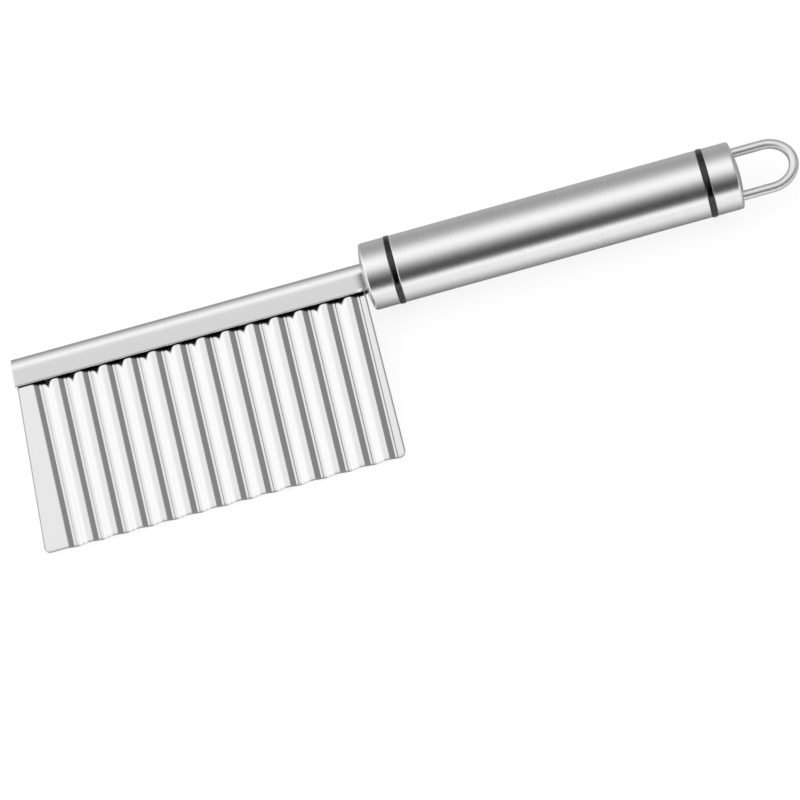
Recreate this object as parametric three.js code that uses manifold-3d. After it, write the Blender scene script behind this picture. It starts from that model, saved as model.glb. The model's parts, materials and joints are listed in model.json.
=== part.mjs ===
// Crinkle cutter: a corrugated steel blade in a folded spine, on a round steel handle with a hanging loop.
// Millimetres, +Z up. The tool lies on its two handle rings and its cutting edge.
//
// Every piece is drawn in the tool's own axes: X runs along the handle from the face of the front cap
// towards the loop, Y is the blade's height with the cutting edge at the bottom, Z is square to the blade.

import * as THREE from 'three';
import { mergeVertices, toCreasedNormals } from 'three/addons/utils/BufferGeometryUtils.js';
import Module from 'manifold-3d';

const wasm = await Module();
wasm.setup();

// Clearance left between two pieces that are fitted together
const FIT = 0.3;

// Handle
const HANDLE_DIAMETER = 25;
const HANDLE_WALL = 0.8;
const TUBE_LENGTH = 114.3;
const RING_WIDTH = 2.2;
const RING_PROUD = 0.25;
const RING_EDGE_RADIUS = 0.3;

// Caps at the two ends of the handle, with the same domed face
const FRONT_CAP_LENGTH = 10.7;
const END_CAP_LENGTH = 11.2;
const CAP_EDGE_RADIUS = 1.1;
const CAP_DOME_RADIUS = 48;

// Moulded plugs inside the handle
const PLUG_END_WALL = 5;

// Hanging loop of bent wire
const WIRE_DIAMETER = 3.6;
const LOOP_REACH = 21.7;
const LOOP_BEND = 9.7;
const LEG_IN_TUBE = 12;
const LEG_EDGE_WALL = 1;

// Folded spine, whose two skirts close in from the fold to the rims
const SPINE_TOP = 5.9;
const SPINE_HEIGHT = 11.3;
const SPINE_SHEET = 1;
const SPINE_FLARE = THREE.MathUtils.degToRad(8);
const SPINE_OVERHANG = 0.5;

// Tang, a flat-sided bar with a round back that lies in the fold of the spine
const TANG_SIDE = 3;
const TANG_IN_SPINE = 30;
const TANG_IN_TUBE = 27;
const PIN_DIAMETER = 2.4;
const PIN_COUNT = 2;

// Corrugated blade, ground to its edge from the back
const BLADE_SHEET = 0.8;
const BLADE_DROP = 63;
const WAVE_DEPTH = 2.1;
const WAVE_PITCH = 9.24;
const WAVE_COUNT = 14;
const TIP_MARGIN = 4.3;
const HEEL_MARGIN = 2.3;
const TIP_LEAN = THREE.MathUtils.degToRad(3.8);
const WAVE_LEAN = THREE.MathUtils.degToRad(1.1);
const HEEL_LEAN = THREE.MathUtils.degToRad(0.5);
const CORNER_RADIUS = 2.3;
const BEVEL_HEIGHT = 4;
const EDGE_THICKNESS = 0.2;

// Fineness of the curved faces
const ROUND_STEPS = 40;
const ARC_STEPS = 4;
const FOLD_STEPS = 14;
const WAVE_STEPS = 12;
const LOOP_STEPS = 56;
const WIRE_STEPS = 6;
const CREASE_ANGLE = THREE.MathUtils.degToRad(30);

// Radii of the handle's pieces
const handleRadius = HANDLE_DIAMETER / 2;
const boreRadius = handleRadius - HANDLE_WALL;
const plugRadius = boreRadius - FIT;
const ringRadius = handleRadius + RING_PROUD;
const wireRadius = WIRE_DIAMETER / 2;
const pinRadius = PIN_DIAMETER / 2;
const legOffset = plugRadius - LEG_EDGE_WALL - FIT - wireRadius;

// Places along the handle, from the crown of the front cap's face
const frontRingStart = FRONT_CAP_LENGTH + FIT;
const tubeStart = frontRingStart + RING_WIDTH + FIT;
const tubeEnd = tubeStart + TUBE_LENGTH;
const rearRingStart = tubeEnd + FIT;
const endCapStart = rearRingStart + RING_WIDTH + FIT;
const endCapFace = endCapStart + END_CAP_LENGTH;
const tangEnd = tubeStart + TANG_IN_TUBE;
const legEnd = tubeEnd - LEG_IN_TUBE;
const bendStart = endCapFace + LOOP_REACH - wireRadius - LOOP_BEND;

// Half widths across the blade, and heights in its plane, from the handle's axis
const channelHalfWidth = (WAVE_DEPTH + BLADE_SHEET) / 2 + FIT;
const rimHalfWidth = channelHalfWidth + SPINE_SHEET / Math.cos(SPINE_FLARE);
const spineRim = SPINE_TOP - SPINE_HEIGHT;
const edgeHeight = spineRim - BLADE_DROP;

// The fold is the round that touches the spine's top and both skirts
const flareSine = Math.sin(SPINE_FLARE);
const skirtReach = rimHalfWidth * Math.cos(SPINE_FLARE) + SPINE_HEIGHT * flareSine;
const foldRadius = skirtReach / (1 + flareSine);
const foldCentre = SPINE_TOP - foldRadius;

// The tang's round back clears the fold, and its lower corners clear the skirts
const flareSlope = Math.tan(SPINE_FLARE);
const tangTop = SPINE_TOP - SPINE_SHEET - FIT;
const tangRoom = channelHalfWidth - FIT + (tangTop - TANG_SIDE - spineRim) * flareSlope;
const tangRadius = tangRoom / (1 + flareSlope);
const tangCentre = tangTop - tangRadius;
const tangBottom = tangCentre - TANG_SIDE;
const bladeTop = tangBottom - FIT;

// Sizes along the blade. The waves start on a crest and end in a trough
const spineEnd = -FIT;
const waveTurns = WAVE_COUNT - 0.5;
const cornerRadius = Math.min(CORNER_RADIUS, TIP_MARGIN, HEEL_MARGIN);

// X of the blade's upright lines at a given height: heel edge, last trough, first crest and tip edge
function heelEdge(height) {
  return spineEnd - (bladeTop - height) * Math.tan(HEEL_LEAN);
}

function lastTrough(height) {
  return heelEdge(spineRim) - HEEL_MARGIN - (spineRim - height) * Math.tan(WAVE_LEAN);
}

function firstCrest(height) {
  return lastTrough(height) - waveTurns * WAVE_PITCH;
}

function tipEdge(height) {
  return firstCrest(spineRim) - TIP_MARGIN - (spineRim - height) * Math.tan(TIP_LEAN);
}

// Drop everything but the positions, share the vertices and leave out triangles with no area
function welded(geometry) {
  const bare = new THREE.BufferGeometry();
  bare.setAttribute('position', geometry.attributes.position);
  bare.setIndex(geometry.index);
  const merged = mergeVertices(bare);
  const corners = [];
  for (let i = 0; i < merged.index.count; i += 3) {
    const triangle = [0, 1, 2].map((k) => merged.index.getX(i + k));
    if (new Set(triangle).size === 3) corners.push(...triangle);
  }
  merged.setIndex(corners);
  return merged;
}

function toSolid(geometry) {
  const merged = welded(geometry);
  const vertProperties = new Float32Array(merged.attributes.position.array);
  const triVerts = new Uint32Array(merged.index.array);
  return new wasm.Manifold(new wasm.Mesh({ numProp: 3, vertProperties, triVerts }));
}

// Cut each tool out of a piece
function cut(geometry, ...tools) {
  const rest = tools.reduce((body, tool) => body.subtract(toSolid(tool)), toSolid(geometry));
  const { vertProperties, triVerts } = rest.getMesh();
  const result = new THREE.BufferGeometry();
  result.setAttribute('position', new THREE.BufferAttribute(vertProperties, 3));
  result.setIndex(new THREE.BufferAttribute(triVerts, 1));
  return result;
}

// Points of an arc in a half section
function arc(centreX, centreY, radius, from, to) {
  const points = [];
  for (let i = 0; i <= ARC_STEPS; i += 1) {
    const angle = THREE.MathUtils.lerp(from, to, i / ARC_STEPS);
    points.push(new THREE.Vector2(centreX + radius * Math.cos(angle), centreY + radius * Math.sin(angle)));
  }
  return points;
}

// Turn a half section of (radius, distance along the handle) about the handle's axis
function turned(section) {
  return new THREE.LatheGeometry(section, ROUND_STEPS).rotateZ(-Math.PI / 2);
}

// A straight round bar or tube along the handle, with sharp edges
function roundBar(radius, start, end) {
  const corners = [[0, start], [radius, start], [radius, end], [0, end]];
  return turned(corners.map(([r, x]) => new THREE.Vector2(r, x)));
}

function roundTube(outerRadius, innerRadius, start, end) {
  const corners = [[innerRadius, start], [outerRadius, start], [outerRadius, end], [innerRadius, end]];
  corners.push(corners[0]);
  return turned(corners.map(([r, x]) => new THREE.Vector2(r, x)));
}

// Draw a shape in the plane across the tool and push it along the tool
function pushed(shape, start, end) {
  const settings = { depth: end - start, bevelEnabled: false, curveSegments: FOLD_STEPS };
  return new THREE.ExtrudeGeometry(shape, settings).rotateY(Math.PI / 2).translate(start, 0, 0);
}

// Angle of a cap's domed face where its rounded edge starts
const capRimAngle = Math.asin((handleRadius - CAP_EDGE_RADIUS) / (CAP_DOME_RADIUS - CAP_EDGE_RADIUS));

// Depth from the crown of the domed face to the end of the rounded edge, and to the inside of the face
const capEdgeDepth = CAP_DOME_RADIUS - (CAP_DOME_RADIUS - CAP_EDGE_RADIUS) * Math.cos(capRimAngle);
const capInnerDepth = capEdgeDepth + HANDLE_WALL;

// A cup with a domed face at X = 0 and its mouth at X = length
function cup(length) {
  const crown = -Math.PI / 2;
  const rim = crown + capRimAngle;
  const section = [
    ...arc(0, CAP_DOME_RADIUS, CAP_DOME_RADIUS, crown, rim),
    ...arc(handleRadius - CAP_EDGE_RADIUS, capEdgeDepth, CAP_EDGE_RADIUS, rim, 0).slice(1),
    new THREE.Vector2(handleRadius, length),
    new THREE.Vector2(boreRadius, length),
    new THREE.Vector2(boreRadius, capInnerDepth),
    new THREE.Vector2(0, capInnerDepth),
  ];
  return turned(section);
}

// Section of the tang, grown all round for the slots that take it
function tangSection(growth) {
  const shape = new THREE.Shape();
  shape.moveTo(-tangRadius - growth, tangBottom - growth);
  shape.lineTo(tangRadius + growth, tangBottom - growth);
  shape.absarc(0, tangCentre, tangRadius + growth, 0, Math.PI, false);
  return shape;
}

// Slot that takes the tang
function tangSlot(start, end) {
  return pushed(tangSection(FIT), start, end);
}

// Cross pins, shared out along the tang inside the tube, and the holes that take them
const pinHeight = (tangBottom + tangTop) / 2;
const pinReach = Math.sqrt(plugRadius ** 2 - (Math.abs(pinHeight) + pinRadius) ** 2) - FIT;
const pinShares = Array.from({ length: PIN_COUNT }, (_, i) => (i + 0.5) / PIN_COUNT);
const pinPlaces = pinShares.map((share) => THREE.MathUtils.lerp(tubeStart, tangEnd, share));

function pinBar(place, radius, reach) {
  const bar = new THREE.CylinderGeometry(radius, radius, 2 * reach, ROUND_STEPS / 2);
  return bar.rotateX(Math.PI / 2).translate(place, pinHeight, 0);
}

function pinHoles() {
  return pinPlaces.map((place) => pinBar(place, pinRadius + FIT, handleRadius));
}

function tangGeometry() {
  return cut(pushed(tangSection(0), spineEnd - TANG_IN_SPINE, tangEnd), ...pinHoles());
}

function frontCapGeometry() {
  const slot = tangSlot(-FIT, FRONT_CAP_LENGTH);
  return cut(cup(FRONT_CAP_LENGTH), slot);
}

function frontPlugGeometry() {
  const start = capInnerDepth + FIT;
  const slot = tangSlot(start - FIT, tangEnd + FIT);
  return cut(roundBar(plugRadius, start, tangEnd + PLUG_END_WALL), slot, ...pinHoles());
}

// A ring with rounded outer edges, between a cap and the tube
function ringGeometry(start) {
  const end = start + RING_WIDTH;
  const edge = ringRadius - RING_EDGE_RADIUS;
  const section = [
    new THREE.Vector2(boreRadius, start),
    ...arc(edge, start + RING_EDGE_RADIUS, RING_EDGE_RADIUS, -Math.PI / 2, 0),
    ...arc(edge, end - RING_EDGE_RADIUS, RING_EDGE_RADIUS, 0, Math.PI / 2),
    new THREE.Vector2(boreRadius, end),
    new THREE.Vector2(boreRadius, start),
  ];
  return turned(section);
}

// Holes for the two legs of the loop
function legHoles(start, end) {
  const hole = () => roundBar(wireRadius + FIT, start, end);
  return [hole().translate(0, legOffset, 0), hole().translate(0, -legOffset, 0)];
}

function rearPlugGeometry() {
  const end = endCapFace - capInnerDepth - FIT;
  return cut(roundBar(plugRadius, legEnd - PLUG_END_WALL, end), ...legHoles(legEnd - FIT, end + FIT));
}

function endCapGeometry() {
  const cap = cup(END_CAP_LENGTH).rotateY(Math.PI).translate(endCapFace, 0, 0);
  return cut(cap, ...legHoles(endCapStart, endCapFace + FIT));
}

// Centre line of the loop's wire: up one leg, round the oval bend and back along the other leg
class LoopLine extends THREE.Curve {
  getPoint(share, target = new THREE.Vector3()) {
    const leg = bendStart - legEnd;
    const bend = (Math.PI / 2) * (legOffset + LOOP_BEND);
    const run = share * (2 * leg + bend);
    if (run < leg) return target.set(legEnd + run, legOffset, 0);
    if (run > leg + bend) return target.set(bendStart - (run - leg - bend), -legOffset, 0);
    const angle = ((run - leg) / bend) * Math.PI;
    return target.set(bendStart + LOOP_BEND * Math.sin(angle), legOffset * Math.cos(angle), 0);
  }
}

function loopGeometry() {
  const section = new THREE.Shape().absarc(0, 0, wireRadius, 0, 2 * Math.PI, false);
  const settings = { steps: LOOP_STEPS, extrudePath: new LoopLine(), curveSegments: WIRE_STEPS };
  return new THREE.ExtrudeGeometry(section, settings);
}

// The folded spine: a strip bent over the blade's back, cut at the tip on the blade's own slant
function spineGeometry() {
  const [front, back] = [-SPINE_FLARE, Math.PI + SPINE_FLARE];
  const shape = new THREE.Shape();
  shape.moveTo(-rimHalfWidth, spineRim);
  shape.lineTo(-channelHalfWidth, spineRim);
  shape.absarc(0, foldCentre, foldRadius - SPINE_SHEET, back, front, true);
  shape.lineTo(channelHalfWidth, spineRim);
  shape.lineTo(rimHalfWidth, spineRim);
  shape.absarc(0, foldCentre, foldRadius, front, back, false);
  const geometry = pushed(shape, 0, 1);
  const position = geometry.attributes.position;
  for (let i = 0; i < position.count; i += 1) {
    const tip = tipEdge(position.getY(i)) - SPINE_OVERHANG;
    position.setX(i, THREE.MathUtils.lerp(tip, spineEnd, position.getX(i)));
  }
  return geometry;
}

// Columns of the blade from tip to heel. Each lies at a share of the way between two upright lines,
// at a phase of the waves, and at a distance from the end that counts for the rounded corners
function bladeColumns() {
  const tipWidth = firstCrest(edgeHeight) - tipEdge(edgeHeight);
  const heelWidth = heelEdge(edgeHeight) - lastTrough(edgeHeight);
  const endPhase = waveTurns * 2 * Math.PI;
  const cornerSteps = Array.from({ length: ARC_STEPS + 1 }, (_, i) => (i / ARC_STEPS) * (Math.PI / 2));
  const cornerDistances = cornerSteps.map((angle) => cornerRadius * (1 - Math.cos(angle)));
  const tip = cornerDistances.map((distance) => (
    { from: tipEdge, to: firstCrest, share: distance / tipWidth, phase: 0, distance }
  ));
  const heel = cornerDistances.reverse().map((distance) => (
    { from: heelEdge, to: lastTrough, share: distance / heelWidth, phase: endPhase, distance }
  ));
  const steps = Math.round(waveTurns * WAVE_STEPS);
  const shares = Array.from({ length: steps + 1 }, (_, i) => i / steps);
  const waves = shares.map((share) => (
    { from: firstCrest, to: lastTrough, share, phase: share * endPhase, distance: cornerRadius }
  ));
  return [...tip, ...waves, ...heel];
}

// The closed outline of the sheet at one column: down the front to the cutting edge and up the back
function bladeOutline({ from, to, share, phase, distance }) {
  const depth = (WAVE_DEPTH / 2) * Math.cos(phase);
  const slope = (-WAVE_DEPTH / 2) * Math.sin(phase) * ((2 * Math.PI) / WAVE_PITCH);
  const normal = new THREE.Vector3(-slope, 0, 1).normalize();
  const inset = cornerRadius - distance;
  const bottom = edgeHeight + cornerRadius - Math.sqrt(cornerRadius ** 2 - inset ** 2);
  const rows = [[bladeTop, BLADE_SHEET], [bottom + BEVEL_HEIGHT, BLADE_SHEET], [bottom, EDGE_THICKNESS]];
  const face = (set) => rows.map(([height, thickness]) => {
    const along = THREE.MathUtils.lerp(from(height), to(height), share);
    return new THREE.Vector3(along, height, depth).addScaledVector(normal, BLADE_SHEET / 2 - set * thickness);
  });
  return [...face(0), ...face(1).reverse()];
}

// Join a row of closed outlines into one solid and close both ends
function lofted(outlines) {
  const size = outlines[0].length;
  const geometry = new THREE.BufferGeometry().setFromPoints(outlines.flat());
  const corners = [];
  for (let i = 0; i + 1 < outlines.length; i += 1) {
    for (let k = 0; k < size; k += 1) {
      const [a, b] = [i * size + k, i * size + ((k + 1) % size)];
      corners.push(a, b, b + size, a, b + size, a + size);
    }
  }
  const last = (outlines.length - 1) * size;
  for (let k = 1; k + 1 < size; k += 1) {
    corners.push(0, k + 1, k, last, last + k, last + k + 1);
  }
  return geometry.setIndex(corners);
}

function bladeGeometry() {
  return lofted(bladeColumns().map(bladeOutline));
}

// Materials
const polishedSteel = new THREE.MeshStandardMaterial({ color: 0xd9dbdc, roughness: 0.16, metalness: 1 });
const satinSteel = new THREE.MeshStandardMaterial({ color: 0xc8c9ca, roughness: 0.3, metalness: 1 });
const plainSteel = new THREE.MeshStandardMaterial({ color: 0xa9abad, roughness: 0.45, metalness: 1 });
const blackRubber = new THREE.MeshStandardMaterial({ color: 0x17181a, roughness: 0.5, metalness: 0 });
const blackPlastic = new THREE.MeshStandardMaterial({ color: 0x2b2c2e, roughness: 0.6, metalness: 0 });

function part(name, geometry, material) {
  const mesh = new THREE.Mesh(toCreasedNormals(welded(geometry), CREASE_ANGLE), material);
  mesh.name = name;
  return mesh;
}

// Assembly, in the tool's own axes
const tool = new THREE.Group();
tool.add(
  part('blade', bladeGeometry(), polishedSteel),
  part('spine_channel', spineGeometry(), polishedSteel),
  part('tang', tangGeometry(), plainSteel),
  part('front_cap', frontCapGeometry(), satinSteel),
  part('front_ring', ringGeometry(frontRingStart), blackRubber),
  part('front_plug', frontPlugGeometry(), blackPlastic),
  part('handle_tube', roundTube(handleRadius, boreRadius, tubeStart, tubeEnd), satinSteel),
  part('rear_ring', ringGeometry(rearRingStart), blackRubber),
  part('rear_plug', rearPlugGeometry(), blackPlastic),
  part('end_cap', endCapGeometry(), satinSteel),
  part('hanging_loop', loopGeometry(), polishedSteel),
);
pinPlaces.forEach((place, i) => {
  tool.add(part(`tang_pin_${i + 1}`, pinBar(place, pinRadius, pinReach), plainSteel));
});

// Lay the tool down: turned about the handle until the rings and the blade's back touch one plane, either
// at the cutting edge or at the top of its bevel
function layingAngle(height, back) {
  return Math.asin(ringRadius / Math.hypot(height, back)) - Math.atan2(back, -height);
}
const bevelBack = (WAVE_DEPTH + BLADE_SHEET) / 2;
const edgeBack = bevelBack - BLADE_SHEET + EDGE_THICKNESS;
const bevelTop = edgeHeight + BEVEL_HEIGHT;
tool.rotation.x = Math.min(layingAngle(edgeHeight, edgeBack), layingAngle(bevelTop, bevelBack));

// Stand the part on Z = 0 with its box centred on the origin
const cutter = new THREE.Group();
cutter.add(tool);
cutter.updateMatrixWorld(true);
const box = new THREE.Box3().setFromObject(cutter, true);
const centre = box.getCenter(new THREE.Vector3());
tool.position.set(-centre.x, -centre.y, -box.min.z);

export default cutter;
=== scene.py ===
# %% [markdown]
# A crinkle cutter lies on a white table. Its blade is one sheet of steel pressed into waves and held in a
# folded spine. The handle is a satin tube between two caps, with a black ring at each joint and a wire
# loop to hang it by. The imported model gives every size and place, so it is loaded first, and its box is
# kept to compare with the finished pieces at the end.

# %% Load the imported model
import json
import math

import bmesh
import bpy
from mathutils import Matrix, Vector


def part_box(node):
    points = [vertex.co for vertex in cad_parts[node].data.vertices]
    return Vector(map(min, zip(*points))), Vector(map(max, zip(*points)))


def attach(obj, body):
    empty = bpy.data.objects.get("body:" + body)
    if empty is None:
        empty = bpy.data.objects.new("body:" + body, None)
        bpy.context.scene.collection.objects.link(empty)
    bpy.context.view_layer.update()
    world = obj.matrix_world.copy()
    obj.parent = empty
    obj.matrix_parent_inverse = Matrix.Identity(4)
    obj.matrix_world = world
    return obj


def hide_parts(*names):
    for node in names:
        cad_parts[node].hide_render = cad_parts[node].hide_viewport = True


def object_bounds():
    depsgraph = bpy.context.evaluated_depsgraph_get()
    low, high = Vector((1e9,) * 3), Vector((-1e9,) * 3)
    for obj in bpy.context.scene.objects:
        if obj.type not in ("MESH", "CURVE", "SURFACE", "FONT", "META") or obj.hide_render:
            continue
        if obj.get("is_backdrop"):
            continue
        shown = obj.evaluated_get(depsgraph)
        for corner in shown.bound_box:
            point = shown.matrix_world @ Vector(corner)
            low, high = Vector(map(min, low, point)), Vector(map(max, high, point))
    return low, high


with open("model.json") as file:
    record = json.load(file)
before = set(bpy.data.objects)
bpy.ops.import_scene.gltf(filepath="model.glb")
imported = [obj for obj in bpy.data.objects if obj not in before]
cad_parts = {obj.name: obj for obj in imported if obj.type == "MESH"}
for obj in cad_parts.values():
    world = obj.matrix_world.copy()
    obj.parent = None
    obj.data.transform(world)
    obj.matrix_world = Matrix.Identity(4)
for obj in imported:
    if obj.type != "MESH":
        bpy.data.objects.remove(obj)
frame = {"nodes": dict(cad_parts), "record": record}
cad_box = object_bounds()
print("packed pieces:", ", ".join(sorted(frame["nodes"])))

# %% [markdown]
# The cutter lies a little tilted, on its rings and its cutting edge. It is easier to draw in its own axes:
# X along the handle from the front cap towards the loop, Y up the blade from the cutting edge, and Z
# square to the blade. The record's mount in the flat loop gives the blade's normal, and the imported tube
# gives the axis of the handle. One matrix then carries any mesh from the tool's axes to the table.

# %% The tool's own axes
MM = 0.001
mount_axes = {mount["name"]: Vector(mount["axis"]).normalized() for mount in frame["record"]["mounts"]}
grip_low, grip_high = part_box("handle_tube")
along = Vector((1, 0, 0))
outward = mount_axes["hanging_loop_gap"]
upward = outward.cross(along)
handle_middle = (grip_low + grip_high) / 2
tool = Matrix((along, upward, outward)).transposed().to_4x4()
tool.translation = Vector((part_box("front_cap")[0].x, handle_middle.y, handle_middle.z))
tool_tilt = math.atan2(upward.z, upward.y)


def measure(node):
    """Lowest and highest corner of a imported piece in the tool's axes."""
    to_tool = tool.inverted()
    corners = [to_tool @ vertex.co for vertex in frame["nodes"][node].data.vertices]
    low = Vector([min(corner[i] for corner in corners) for i in range(3)])
    high = Vector([max(corner[i] for corner in corners) for i in range(3)])
    return low, high


print(f"the tool lies tilted by {math.degrees(tool_tilt):.2f} degrees")

# %% [markdown]
# The camera looks down on the blade from the side of the cutting edge, with a long lens, so the lines
# hardly converge. Its place is given in the tool's axes: a tilt off the blade's normal, a small turn
# towards the loop, and a roll that makes the handle rise to the right. The lens follows from the focal
# length in pixels of an 800 pixel image.

# %% Camera
IMAGE_PIXELS = 800
FOCAL_PIXELS = 4441
SENSOR_WIDTH = 36
CAMERA_DISTANCE = 1600 * MM
CAMERA_TILT = math.radians(15)
CAMERA_TURN = math.radians(2.4)
CAMERA_ROLL = math.radians(-15.434)
CAMERA_AIM = Vector((1.875, -47.79, 0)) * MM

back = Vector((
    math.sin(CAMERA_TURN),
    -math.sin(CAMERA_TILT) * math.cos(CAMERA_TURN),
    math.cos(CAMERA_TILT) * math.cos(CAMERA_TURN),
))
level_right = Vector((0, math.cos(CAMERA_TILT), math.sin(CAMERA_TILT))).cross(back).normalized()
level_up = back.cross(level_right)
camera_right = level_right * math.cos(CAMERA_ROLL) + level_up * math.sin(CAMERA_ROLL)
camera_up = back.cross(camera_right)
pose = Matrix((camera_right, camera_up, back)).transposed().to_4x4()
pose.translation = CAMERA_AIM + back * CAMERA_DISTANCE

lens = bpy.data.cameras.new("camera")
lens.sensor_width = SENSOR_WIDTH
lens.lens = SENSOR_WIDTH * FOCAL_PIXELS / IMAGE_PIXELS
camera = bpy.data.objects.new("camera", lens)
camera.matrix_world = tool @ pose
bpy.context.scene.collection.objects.link(camera)
bpy.context.scene.camera = camera
bpy.context.scene.view_settings.view_transform = "Standard"
print(f"lens {lens.lens:.1f} mm, camera {camera.matrix_world.translation.z:.2f} m above the table")

# %% [markdown]
# Finishes and shapes are both made of nodes here. Wiring nodes by hand is long, so one small class wraps a
# socket: arithmetic on it adds Math nodes, and its node method adds any other node, with its settings
# first and its sockets after. The same class serves shaders, the world and geometry trees.

# %% A socket that takes arithmetic
# A Mix node has sockets for each kind of data, so those for colours are chosen by their numbers
MIX_SHARE, MIX_FIRST, MIX_SECOND = 0, 6, 7
MIX_COLOUR = 2


class Flow:
    """One output socket of a node tree, or the tree itself before any node is made."""

    def __init__(self, tree, socket=None):
        self.tree = tree
        self.socket = socket

    def node(self, kind, settings=None, sockets=None, output=0):
        """Add a node: its settings first, then the values or links of its sockets."""
        made = self.tree.nodes.new(kind)
        for name, value in (settings or {}).items():
            if name == "stops":
                self.set_stops(made.color_ramp.elements, value)
            else:
                setattr(made, name, value)
        for name, value in (sockets or {}).items():
            for one in value if isinstance(value, list) else [value]:
                if isinstance(one, Flow):
                    self.tree.links.new(one.socket, made.inputs[name])
                else:
                    made.inputs[name].default_value = one
        return Flow(self.tree, made.outputs[output]) if made.outputs else None

    @staticmethod
    def set_stops(elements, stops):
        """Give a colour ramp these places and grey tones."""
        while len(elements) < len(stops):
            elements.new(1)
        for element, (place, tone) in zip(elements, stops):
            element.position = place
            element.color = (tone, tone, tone, 1)

    def output(self, name):
        """Another output of the same node."""
        return Flow(self.tree, self.socket.node.outputs[name])

    def math(self, operation, *values):
        """A Math node with these values or links."""
        return self.node("ShaderNodeMath", {"operation": operation}, dict(enumerate(values)))

    def __add__(self, other):
        return self.math("ADD", self, other)

    def __sub__(self, other):
        return self.math("SUBTRACT", self, other)

    def __rsub__(self, other):
        return self.math("SUBTRACT", other, self)

    def __mul__(self, other):
        return self.math("MULTIPLY", self, other)

    def __truediv__(self, other):
        return self.math("DIVIDE", self, other)

    __radd__ = __add__
    __rmul__ = __mul__

    def ramp(self, start, end, kind="SMOOTHSTEP"):
        """0 before start, 1 after end, and smooth between them."""
        sockets = {"Value": self, "From Min": start, "From Max": end}
        return self.node("ShaderNodeMapRange", {"interpolation_type": kind}, sockets)

    def mix(self, first, second):
        """The first colour where this value is 0 and the second where it is 1."""
        sockets = {MIX_SHARE: self, MIX_FIRST: first, MIX_SECOND: second}
        return self.node("ShaderNodeMix", {"data_type": "RGBA"}, sockets, MIX_COLOUR)


# %% [markdown]
# The studio is a white tent, so bright steel looks white in it. What gives the handle its bands is what
# the tent lacks: an open, dark side low behind the camera and a grey wall behind the tool. A round bar
# mirrors the sky across its length, so its bands depend on one angle only, the bank from overhead towards
# the back of the table. The blade's waves mirror the two ends of the tent instead: a white one at the tip,
# and a dark opening at the end of the loop. Both stop short of straight along the handle, which keeps the
# plain bands for a view from an end. Lamps could light the tool too, but polished steel shows all that is
# round it, and a world that is worked out from the direction gives each band its place.

# %% Studio light
# Bank in degrees, negative on the camera's side, with the light that comes from there
TENT_BANDS = (
    (-90, 1.7), (-79, 1.08), (-71, 0.03), (-50, 0.03), (-40, 0.11), (-32, 0.26), (-24, 0.41), (-16, 0.68),
    (-8, 0.97), (0, 1.1), (8, 1.18), (14, 1.27), (22, 1.16), (32, 0.96), (42, 0.72), (54, 0.47), (70, 0.43),
    (90, 0.38),
)
# Light of each end, and where it starts and stops: 0 is square to the handle and 1 straight along it
TIP_LIGHT = 1.39
TIP_START, TIP_FULL = 0.32, 0.85
TIP_LAST, TIP_PAST = 0.93, 0.96
LOOP_END_LIGHT = 0.32
LOOP_END_START, LOOP_END_FULL = 0.64, 0.7
LOOP_END_LAST, LOOP_END_PAST = 0.93, 0.98
# Bank of the middle of the opening, and how far from it the opening starts and ends to fade
LOOP_END_BANK = math.radians(18)
LOOP_END_WIDTH, LOOP_END_FADE = math.radians(25), math.radians(40)
WHITE = (1, 1, 1, 1)

world = bpy.data.worlds.new("studio")
world.use_nodes = True
world.node_tree.nodes.clear()
sky = Flow(world.node_tree)
sky_x = sky.node("ShaderNodeSeparateXYZ", {}, {"Vector": sky.node("ShaderNodeTexCoord")}, "X")
bank = sky.math("ARCTAN2", sky_x.output("Y"), sky_x.output("Z"))
# a bank from -90 to 90 degrees runs from 0 to 1 along the ramp, and a colour times 1 is a plain value
stops = [(degrees / 180 + 0.5, share) for degrees, share in TENT_BANDS]
light = sky.node("ShaderNodeValToRGB", {"stops": stops}, {"Fac": bank / math.pi + 0.5}) * 1.0
towards_tip = 0 - sky_x
tip_end = towards_tip.ramp(TIP_START, TIP_FULL) * (1 - towards_tip.ramp(TIP_LAST, TIP_PAST))
light = light + tip_end * (TIP_LIGHT - light)
off_bank = sky.math("ABSOLUTE", bank - LOOP_END_BANK)
opening = sky_x.ramp(LOOP_END_START, LOOP_END_FULL) * (1 - sky_x.ramp(LOOP_END_LAST, LOOP_END_PAST))
opening = opening * (1 - off_bank.ramp(LOOP_END_WIDTH, LOOP_END_FADE))
light = light + opening * (LOOP_END_LIGHT - light)
seen = sky.node("ShaderNodeLightPath", output="Is Camera Ray")
backdrop = sky.node("ShaderNodeBackground", {}, {"Color": WHITE, "Strength": light + seen * (1 - light)})
sky.node("ShaderNodeOutputWorld", {}, {"Surface": backdrop})
bpy.context.scene.world = world
print("studio world:", len(world.node_tree.nodes), "nodes")

# %% [markdown]
# The table is a large white sheet. A matt white never reaches the white of paper by its own light, so rays
# from the camera, and those that bounce off the steel, find some glow added to it. The shadow of the tool
# stays, because it darkens the matt part. The glow that the steel mirrors fades under the handle and behind
# the spine, a painted shadow where the tool itself hides the light.

# %% Table
TABLE_SIZE = 6
TABLE_DROP = 0.05 * MM
TABLE_WHITE = (0.24, 0.24, 0.24, 1)
TABLE_GLOW = 0.85
MIRRORED_WHITE = (0.65, 0.65, 0.65, 1)
MIRRORED_GLOW = 0.55
BEFORE_HANDLE, UNDER_HANDLE = -12 * MM, 12 * MM
BEFORE_CAP, UNDER_CAP = -17 * MM, -13 * MM
UNDER_SPINE, BEHIND_SPINE = 30 * MM, 33 * MM


def surface(name):
    """A new material with an empty tree."""
    material = bpy.data.materials.new(name)
    material.use_nodes = True
    material.node_tree.nodes.clear()
    return material, Flow(material.node_tree)


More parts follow.
